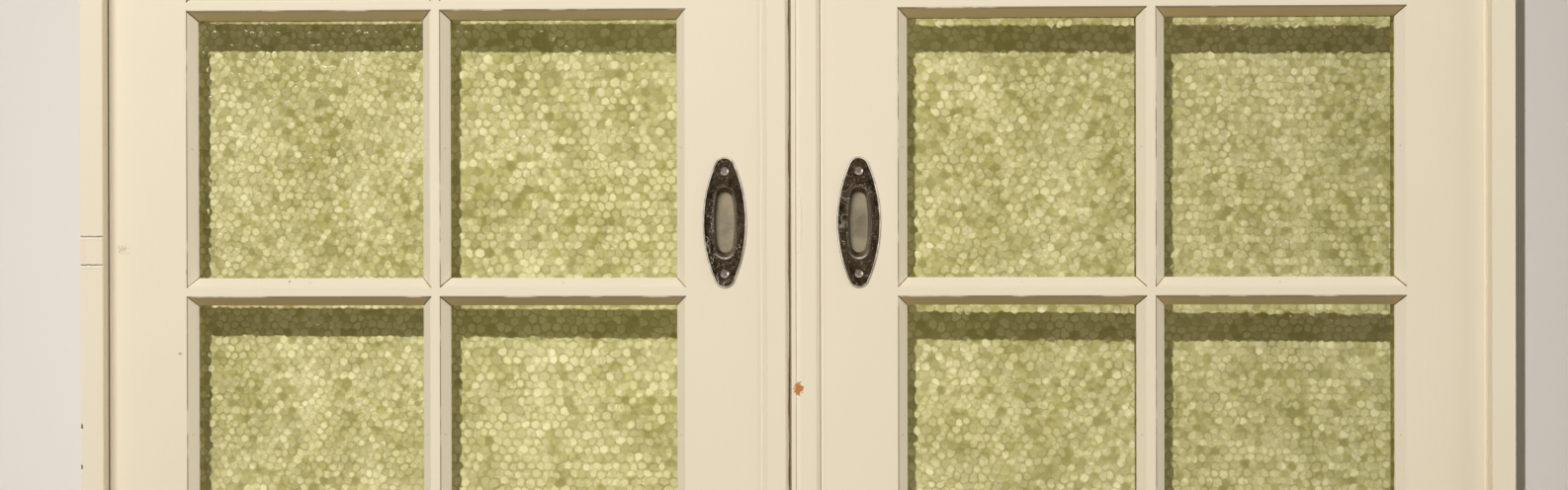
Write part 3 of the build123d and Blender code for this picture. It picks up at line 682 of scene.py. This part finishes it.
def pull_plate():
    """Dark mirror-like plate with painted reflections on its rim, cup lip and streaks, and a satin
    cup floor.
    """
    material, tree, shader = new_material("aged_nickel")
    x, y, z = axes(tree)
    out = maths(tree, "ABSOLUTE", minus(tree, y, LEAF_MIDDLE))
    lip_top = LEAF_MIDDLE - PULL_LOW.y
    plate_face = lip_top - CUP_LIP_HEIGHT
    cup_floor = lip_top - CUP_DEPTH
    from_middle = minus(tree, maths(tree, "ABSOLUTE", x), PULL_X)
    across = maths(tree, "DIVIDE", from_middle, CUP_REACH_X)
    along = maths(tree, "DIVIDE", minus(tree, z, PULL_Z), CUP_REACH_Z)
    reach = plus(tree, times(tree, across, across), times(tree, along, along))
    specks = noise(tree, *PLATE_SPECKS)
    cloud = noise(tree, *PLATE_CLOUD)
    pitted = times(tree, remap(tree, specks, *PITS), remap(tree, cloud, *PITTED_AREAS))
    colour = tint(tree, pitted, PLATE_DARK, PLATE_SPECK)
    bright, reflected = reflected_bright(tree, out, plate_face, reach, along, cloud)
    # Painted reflection: the pale rim, lower cup lip and streaks.
    colour = tint(tree, reflected, colour, RIM_BRIGHT)
    satin = remap(tree, out, cup_floor + FLOOR_START, cup_floor + FLOOR_FULL)
    smudges = remap(tree, cloud, *FLOOR_SMUDGES)
    smudged = plus(tree, remap(tree, reach, *FLOOR_MIDDLE), smudges)
    cup = tint(tree, smudged, CUP_SATIN, CUP_DARK)
    feed(tree, tint(tree, satin, colour, cup), shader.inputs["Base Color"])
    rough = remap(tree, cloud, NOISE_LOW, NOISE_HIGH, *PLATE_ROUGHNESS)
    rough = maths(tree, "MAXIMUM", rough, times(tree, satin, CUP_FLOOR_ROUGHNESS))
    rough = maths(tree, "MAXIMUM", rough, times(tree, bright, BRIGHT_ROUGHNESS))
    feed(tree, rough, shader.inputs["Roughness"])
    metallic = remap(tree, bright, 0.0, 1.0, 1.0, BRIGHT_METALLIC)
    feed(tree, metallic, shader.inputs["Metallic"])
    relief = bump(tree, noise(tree, *PLATE_WAVES), PLATE_WAVE_RELIEF)
    relief = bump(tree, specks, *PLATE_SPECK_RELIEF, relief)
    feed(tree, relief, shader.inputs["Normal"])
    return material


def assign(node, material):
    """Give a CAD node this material in place of its own."""
    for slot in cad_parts[node].material_slots:
        slot.link = "OBJECT"
        slot.material = material


def mesh_piece(name, vertices, faces, material, body, smooth=True):
    """A new mesh object that rides on a body and takes its finish from a slot."""
    mesh = bpy.data.meshes.new(name)
    mesh.from_pydata(vertices, [], faces)
    mesh.update()
    mesh.materials.append(material)
    if smooth:
        mesh.shade_smooth()
    piece = bpy.data.objects.new(name, mesh)
    bpy.context.scene.collection.objects.link(piece)
    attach(piece, body)
    return piece


# Panes of hammered glass: each column's pitch of hammer marks, and the marks' form.
# Shares of the pitch: the rows' height, the greatest shift, the edge that stays still.
COLUMN_PITCH = (0.0078, 0.0090, 0.0088, 0.0084)
ROW_SHARE = 0.866
JITTER = 0.43
STILL_EDGE = 1.2
FIRST_CELL = 2
SPARE_CELLS = 5
RING_PLACE = 0.55
RING_HEIGHT = 0.72
LOWEST_TOP = 0.5
LUMP_HEIGHT = 0.00045
SMOOTH_MARGIN = 0.003
SMALLEST_AREA = 1e-10
CLEAR_SHADE = 0.9
CELL_SIDES = 6
NEIGHBOURS = (
    ((0, 1), (1, 0), (1, -1), (0, -1), (-1, -1), (-1, 0)),
    ((0, 1), (1, 1), (1, 0), (0, -1), (-1, 0), (-1, 1)),
)


def from_edge(x, z, low, high):
    """Distance to the nearest side of a pane."""
    return np.minimum.reduce([x - low[0], high[0] - x, z - low[1], high[1] - z])


def jittered_lattice(low, high, pitch, rng):
    """Middles of the marks, as x and z by row and column of a hexagonal lattice."""
    rows = math.ceil((high[1] - low[1]) / (pitch * ROW_SHARE)) + SPARE_CELLS
    columns = math.ceil((high[0] - low[0]) / pitch) + SPARE_CELLS
    row, column = np.mgrid[0:rows, 0:columns]
    x = low[0] + (column - FIRST_CELL + 0.5 * (row % 2)) * pitch
    z = low[1] + (row - FIRST_CELL) * pitch * ROW_SHARE
    inside = from_edge(x, z, low, high) > STILL_EDGE * pitch
    reach = inside * JITTER * pitch * np.sqrt(rng.uniform(0, 1, x.shape))
    angle = rng.uniform(0, 2 * math.pi, x.shape)
    return x + reach * np.cos(angle), z + reach * np.sin(angle)


def cells_and_neighbours(rows, columns):
    """Each inner cell's index, and its six neighbours' in turn, as six rows each."""
    row, column = np.mgrid[0:rows, 0:columns]
    index = np.arange(rows * columns).reshape(rows, columns)
    core = (slice(1, rows - 1), slice(1, columns - 1))
    cell_row, cell_column = row[core].ravel(), column[core].ravel()
    around = np.empty((CELL_SIDES, cell_row.size), dtype=int)
    for k in range(CELL_SIDES):
        for parity in (0, 1):
            up, across = NEIGHBOURS[parity][k]
            chosen = cell_row % 2 == parity
            around[k, chosen] = index[cell_row[chosen] + up, cell_column[chosen] + across]
    return np.broadcast_to(index[core].ravel(), around.shape), around


def shared_points(*cells):
    """The different groups of cells that share a point, and each place's group."""
    groups = np.sort(np.stack(cells, axis=-1).reshape(-1, len(cells)), axis=1)
    different, which = np.unique(groups, axis=0, return_inverse=True)
    return different, which.reshape(cells[0].shape)


def hammer_marks(low, high, pitch, rng):
    """Rounded marks on a jittered hexagonal lattice, clipped to a pane.

    Returns x and z, profile (1 at a mark's centre, 0 at its edge), top (each mark's own
    height), triangles, and each triangle's mark.
    """
    x, z = jittered_lattice(low, high, pitch, rng)
    own, around = cells_and_neighbours(*x.shape)
    x, z = x.ravel(), z.ravel()
    corners, corner = shared_points(own, around, np.roll(around, -1, axis=0))
    middles, middle = shared_points(own, around)
    corner_x, corner_z = x[corners].mean(axis=1), z[corners].mean(axis=1)
    ring_x = (x[own] + (corner_x[corner] - x[own]) * RING_PLACE).ravel()
    ring_z = (z[own] + (corner_z[corner] - z[own]) * RING_PLACE).ravel()
    first_corner = x.size
    first_middle = first_corner + len(corners)
    first_ring = first_middle + len(middles)
    all_x = np.concatenate([x, corner_x, x[middles].mean(axis=1), ring_x])
    all_z = np.concatenate([z, corner_z, z[middles].mean(axis=1), ring_z])
    edge_points = len(corners) + len(middles)
    ring_profile = np.full(ring_x.size, RING_HEIGHT)
    profile = np.concatenate([np.ones(x.size), np.zeros(edge_points), ring_profile])
    tops = rng.uniform(LOWEST_TOP, 1.0, x.size)
    top = np.concatenate([tops, np.ones(edge_points), tops[own].ravel()])
    corner = corner + first_corner
    middle = middle + first_middle
    ring = np.arange(ring_x.size).reshape(around.shape) + first_ring
    next_corner = np.roll(corner, -1, axis=0)
    next_middle = np.roll(middle, -1, axis=0)
    next_ring = np.roll(ring, -1, axis=0)
    families = (
        (own, ring, next_ring),
        (ring, corner, next_middle),
        (ring, next_middle, next_ring),
        (next_ring, next_middle, next_corner),
    )
    triangles = np.concatenate([np.stack(family, axis=-1).reshape(-1, 3) for family in families])
    marks = np.tile(own.ravel(), len(families))
    all_x = np.clip(all_x, low[0], high[0])
    all_z = np.clip(all_z, low[1], high[1])
    a, b, c = triangles.T
    ab_x, ab_z = all_x[b] - all_x[a], all_z[b] - all_z[a]
    ac_x, ac_z = all_x[c] - all_x[a], all_z[c] - all_z[a]
    kept = ab_x * ac_z - ac_x * ab_z > SMALLEST_AREA
    used, packed = np.unique(triangles[kept], return_inverse=True)
    return all_x[used], all_z[used], profile[used], top[used], packed.reshape(-1, 3), marks[kept]


def outline_loop(triangles):
    """The vertices round the open edge of a triangle mesh, in order."""
    edges = np.concatenate([triangles[:, [0, 1]], triangles[:, [1, 2]], triangles[:, [2, 0]]])
    whole = {tuple(edge) for edge in edges.tolist()}
    following = {first: last for first, last in whole if (last, first) not in whole}
    start = next(iter(following))
    loop = [start]
    while following[loop[-1]] != start:
        loop.append(following[loop[-1]])
    return loop


def add_pane(low, high, front, back, pitch, rng, sheet):
    """Add one pane, hammered in front and flat behind, to the sheet's lists."""
    vertices, faces, lumps, shades, hammered = sheet
    x, z, profile, top, triangles, marks = hammer_marks(low, high, pitch, rng)
    fade = np.clip(from_edge(x, z, low, high) / SMOOTH_MARGIN, 0.0, 1.0)
    y = front + LUMP_HEIGHT * (1.0 - profile * top * fade)
    base = len(vertices)
    vertices.extend(np.stack([x, y, z], axis=1).tolist())
    lumps.extend(profile.tolist())
    faces.extend((triangles + base).tolist())
    shades.extend(rng.uniform(0.0, 1.0, marks.max() + 1)[marks].tolist())
    hammered.extend([True] * len(triangles))
    rim = [base + vertex for vertex in outline_loop(triangles)]
    start = len(vertices)
    for vertex in rim:
        vertices.append([vertices[vertex][0], back, vertices[vertex][2]])
        lumps.append(1.0)
    count = len(rim)
    for k in range(count):
        after = (k + 1) % count
        faces.append([rim[after], rim[k], start + k, start + after])
    faces.append([start + k for k in reversed(range(count))])
    shades.extend([CLEAR_SHADE] * (count + 1))
    hammered.extend([False] * (count + 1))


def make_panes(material):
    """Replace each row of panes with its hammered ones."""
    rng = np.random.default_rng(SEED)
    width = OPENING_X - 2 * GLASS_EDGE_GAP
    for number, side in enumerate(SIDES):
        for row in range(1, PANE_ROWS + 1):
            node = f"{side}_panes_row_{row}"
            low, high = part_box(node)
            sheet = [], [], [], [], []
            for column, x in enumerate((low.x, high.x - width)):
                pitch = COLUMN_PITCH[PANE_COLUMNS * number + column]
                add_pane((x, low.z), (x + width, high.z), low.y, high.y, pitch, rng, sheet)
            vertices, faces, lumps, shades, hammered = sheet
            name = f"{side}_hammered_panes_{row}"
            piece = mesh_piece(name, vertices, faces, material, f"{side}_leaf")
            attribute = piece.data.attributes.new("lump", "FLOAT", "POINT")
            attribute.data.foreach_set("value", lumps)
            attribute = piece.data.attributes.new("shade", "FLOAT", "FACE")
            attribute.data.foreach_set("value", shades)
            piece.data.polygons.foreach_set("use_smooth", hammered)
            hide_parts(node)


# Countersunk slotted screws of the hinges
HINGE_HALF_GAP = 0.0003
SCREW_RADIUS = 0.0034
SCREW_PROUD = 0.00012
SCREW_SLOT = 0.0009
SLOT_DEPTH = 0.0009
SCREW_SUNK = 0.0012
SCREW_SPACING = 0.032
SCREW_STAGGER = 0.005
SCREW_SEGMENTS = 14


def add_prism(outline, bottom, top, place, vertices, faces):
    """Add a closed prism over an outline of (u, v) points, from bottom to top."""
    base = len(vertices)
    count = len(outline)
    for height in (bottom, top):
        vertices.extend(place(u, v, height) for u, v in outline)
    faces.append([base + k for k in reversed(range(count))])
    faces.append([base + count + k for k in range(count)])
    for k in range(count):
        after = (k + 1) % count
        faces.append([base + k, base + after, base + count + after, base + count + k])


def add_slotted_head(centre, outward, turn, vertices, faces):
    """Add a flat slotted head that faces along X, to the side that outward's sign gives."""
    cos, sin = math.cos(turn), math.sin(turn)

    def place(u, v, height):
        across, up = u * cos - v * sin, u * sin + v * cos
        return centre[0] + outward * height, centre[1] + outward * across, centre[2] + up

    half = SCREW_SLOT / 2
    start = math.asin(half / SCREW_RADIUS)
    turned = math.pi - 2 * start
    steps = [start + turned * k / SCREW_SEGMENTS for k in range(SCREW_SEGMENTS + 1)]
    upper = [(SCREW_RADIUS * math.cos(a), SCREW_RADIUS * math.sin(a)) for a in steps]
    lower = [(-u, -v) for u, v in upper]
    slot = [(lower[-1][0], -half), (upper[0][0], half), (upper[-1][0], half), (lower[0][0], -half)]
    add_prism(upper, -SCREW_SUNK, SCREW_PROUD, place, vertices, faces)
    add_prism(lower, -SCREW_SUNK, SCREW_PROUD, place, vertices, faces)
    add_prism(slot, -SCREW_SUNK, SCREW_PROUD - SLOT_DEPTH, place, vertices, faces)


def make_hinge_screws(material):
    """Three staggered screws in every hinge leaf."""
    rng = np.random.default_rng(SEED + 1)
    for side in SIDES:
        sign = -1 if side == "left" else 1
        pins_low, pins_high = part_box(f"{side}_hinge_pins")
        middle = (pins_low.x + pins_high.x) / 2
        for part, body, away in (("frame", "frame", 1), ("door", f"{side}_leaf", -1)):
            vertices, faces = [], []
            for place in ("bottom", "middle", "top"):
                low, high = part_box(f"{side}_{place}_hinge_{part}_leaf")
                face = middle + sign * away * HINGE_HALF_GAP
                y = (low.y + LEAF_BACK) / 2
                z = (low.z + high.z) / 2
                for k in (-1, 0, 1):
                    shift = SCREW_STAGGER if k == 0 else -SCREW_STAGGER
                    centre = (face, y + shift, z + k * SCREW_SPACING)
                    turn = rng.uniform(0, math.pi)
                    add_slotted_head(centre, -sign * away, turn, vertices, faces)
            name = f"{side}_{part}_hinge_screws"
            mesh_piece(name, vertices, faces, material, body, False)


def plain_material(name, colour, roughness):
    """An even finish: the material, its tree and its shader."""
    material, tree, shader = new_material(name)
    feed(tree, colour, shader.inputs["Base Color"])
    shader.inputs["Roughness"].default_value = roughness
    return material, tree, shader


def place_stage():
    """Pale floor, and a pale wall behind the doors that is clear when seen from behind."""
    material, _, _ = plain_material("pale_floor", FLOOR, FLOOR_ROUGHNESS)
    bpy.ops.mesh.primitive_plane_add(size=FLOOR_WIDTH, location=(0, 0, 0))
    floor = bpy.context.object
    floor.name = "floor"
    floor.data.materials.append(material)
    floor.visible_diffuse = False
    material, tree, shader = plain_material("pale_wall", WALL, WALL_ROUGHNESS)
    geometry = tree.nodes.new("ShaderNodeNewGeometry")
    let_through(tree, shader, geometry.outputs["Backfacing"], (1.0, 1.0, 1.0))
    upright = (math.radians(90), 0, WALL_TURN)
    bpy.ops.mesh.primitive_plane_add(
        size=1, location=(0, WALL_PLACE, WALL_HEIGHT / 2), rotation=upright
    )
    wall = bpy.context.object
    wall.name = "backdrop"
    wall.scale = (WALL_WIDTH, WALL_HEIGHT, 1)
    wall.data.materials.append(material)
    wall.visible_shadow = False
    return floor, wall


def area_light(name, place, target, size, power, colour):
    """A rectangular lamp at a place, turned to its target."""
    data = bpy.data.lights.new(name, "AREA")
    data.shape = "RECTANGLE"
    data.size, data.size_y = size
    data.energy = power
    data.color = colour
    light = bpy.data.objects.new(name, data)
    light.location = place
    light.rotation_euler = (Vector(target) - Vector(place)).to_track_quat("-Z", "Y").to_euler()
    bpy.context.scene.collection.objects.link(light)
    return light


def link_light(light, receivers, state):
    """Let the light reach only these objects (INCLUDE), or all but these (EXCLUDE)."""
    group = bpy.data.collections.new(f"{light.name}_receivers")
    for number, receiver in enumerate(receivers):
        group.objects.link(receiver)
        group.collection_objects[number].light_linking.link_state = state
    light.light_linking.receiver_collection = group


def place_lights(floor, wall):
    """Lamps over the camera, soft ones in front and behind, one for the floor, two strips."""
    over_camera = CAMERA_PLACE + CAMERA_LAMP_OFFSET
    key = area_light("key", over_camera, **KEY)
    key.visible_glossy = False
    wall_lamp = area_light("wall_lamp", over_camera, **WALL_LAMP)
    wall_lamp.visible_glossy = False
    link_light(wall_lamp, [wall], "INCLUDE")
    soft = area_light("soft", **SOFT)
    soft.visible_transmission = False
    link_light(soft, [floor, wall], "EXCLUDE")
    fill = area_light("fill", **FILL)
    link_light(fill, [floor, wall], "EXCLUDE")
    overhead = area_light("overhead", **OVERHEAD)
    overhead.visible_camera = False
    overhead.visible_glossy = False
    overhead.visible_transmission = False
    link_light(overhead, [floor], "INCLUDE")
    pulls = [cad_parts[f"{side}_front_pull"] for side in SIDES]
    for number, x in enumerate(STRIP_PLACES_X):
        place = (x, STRIP_PLACE_Y, CAMERA_PLACE.z)
        strip = area_light(f"pull_strip_{number}", place, (x, 0, CAMERA_PLACE.z), **STRIP)
        link_light(strip, pulls, "INCLUDE")
    area_light("rear", **REAR)


def place_world():
    """Dim warm surroundings that lighten upwards, and a pale background for the camera."""
    world = bpy.data.worlds.new("studio")
    world.use_nodes = True
    tree = world.node_tree
    _, _, up = axes(tree, "Generated")
    sky = ramp(tree, remap(tree, up, -1.0, 1.0), WORLD_HEIGHTS, WORLD_COLOURS)
    path = tree.nodes.new("ShaderNodeLightPath")
    seen = tint(tree, path.outputs["Is Camera Ray"], sky, WORLD_SEEN)
    background = tree.nodes["Background"]
    feed(tree, seen, background.inputs["Color"])
    background.inputs["Strength"].default_value = 1.0
    bpy.context.scene.world = world


def place_camera():
    """The camera that the photo was fitted to."""
    data = bpy.data.cameras.new("camera")
    data.lens = CAMERA_LENS_MM
    data.sensor_width = SENSOR_MM
    camera = bpy.data.objects.new("camera", data)
    turn = (
        Matrix.Rotation(CAMERA_YAW, 4, "Z")
        @ Matrix.Rotation(CAMERA_PITCH, 4, "X")
        @ Matrix.Rotation(CAMERA_ROLL, 4, "Y")
        @ Matrix.Rotation(math.radians(90), 4, "X")
    )
    camera.matrix_world = Matrix.Translation(CAMERA_PLACE) @ turn
    bpy.context.scene.collection.objects.link(camera)
    bpy.context.scene.camera = camera


# Small marks of wear: centre, half-axes, colour, raggedness
STILE_MARKS = (
    ((-0.6445, LEAF_FRONT, 1.1334), (0.0034, 0.004, 0.0028), SCUFF, 1.6),
    ((-0.5891, LEAF_FRONT, 1.0334), (0.0016, 0.004, 0.0012), DIRT, 0.6),
    ((-0.5822, LEAF_FRONT, 1.1123), (0.0007, 0.004, 0.0036), CRACK_DARK, 0.3),
    ((0.6567, LEAF_FRONT, 1.1009), (0.0016, 0.004, 0.0022), CREAM_PALE, 0.4),
)
BAR_MARKS = (
    ((0.3349, LEAF_FRONT, 1.3117), (0.0010, 0.012, 0.0012), BARE_WOOD, 0.3),
    ((0.3263, LEAF_FRONT, 1.2000), (0.0006, 0.012, 0.0040), CRACK_BROWN, 0.3),
)
BEAD_MARKS = (
    ((-0.4841, LEAF_FRONT, 1.1026), (0.0008, 0.012, 0.0008), CRACK_DARK, 0.3),
    ((-0.4622, LEAF_FRONT, 1.0855), (0.0012, 0.012, 0.0030), CREAM_PALE, 0.4),
    ((0.1106, LEAF_FRONT, 1.1063), (0.0026, 0.012, 0.0022), PUTTY, 0.4),
    ((0.1200, LEAF_FRONT, 1.1063), (0.0018, 0.012, 0.0018), PUTTY, 0.4),
)
BLOCK_MARKS = (((-0.6775, FRAME_FRONT, 1.132), (0.0042, 0.006, 0.0125), CREAM_PINK, 0.25),)
JAMB_MARKS = (
    ((-0.6790, FRAME_FRONT, 0.9624), (0.0012, 0.004, 0.0048), CRACK_DARK, 0.4),
    ((-0.6790, FRAME_FRONT, 0.9255), (0.0010, 0.004, 0.0030), CRACK_DARK, 0.4),
)

# Edges with thick paint: x, direction, share of the crack, share of the painted shadow
LIP_EDGES = ((-LIP_INNER, 1, 0.85, 0.45), (LIP_INNER, -1, 0.0, 0.1))
STRIP_EDGES = ((-MEETING_FLAT, -1, 0.12, 0.45), (MEETING_FLAT, 1, 0.75, 0.45))

SCREW_ROUGHNESS = 0.24
STEEL_ROUGHNESS = 0.35

bpy.context.scene.view_settings.view_transform = "Standard"

cross_enamel = enamel("enamel_level", "X", BAR_MARKS)
right_strip_enamel = enamel("enamel_right_strip", "Z", extra=right_strip_wear)
steel = metal("hinge_steel", STEEL, STEEL_ROUGHNESS)

# The first word that a node's name holds decides its finish
FINISHES = (
    ("repair_block", enamel("enamel_block", "X", BLOCK_MARKS, block_joints)),
    ("jamb", enamel("enamel_jambs", "Z", JAMB_MARKS, block_joints)),
    ("glazing_beads", enamel("enamel_beads", "X", BEAD_MARKS, bead_wear)),
    ("left_meeting_strip", enamel("enamel_left_strip", "Z", extra=left_strip_wear)),
    ("right_meeting_strip", right_strip_enamel),
    ("meeting_lipping", right_strip_enamel),
    ("meeting_stile", enamel("enamel_meeting", "Z", extra=edge_ridges(STRIP_EDGES))),
    ("rail", cross_enamel),
    ("bar", cross_enamel),
    ("head", cross_enamel),
    ("pull_screws", metal("screw_nickel", SCREW_METAL, SCREW_ROUGHNESS)),
    ("pull", pull_plate()),
    ("hinge_stile", enamel("enamel_upright", "Z", STILE_MARKS, edge_ridges(LIP_EDGES))),
    ("hinge", steel),
)
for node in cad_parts:
    for word, material in FINISHES:
        if word in node:
            assign(node, material)
            break

make_panes(hammered_glass())
make_hinge_screws(steel)
place_lights(*place_stage())
place_world()
place_camera()
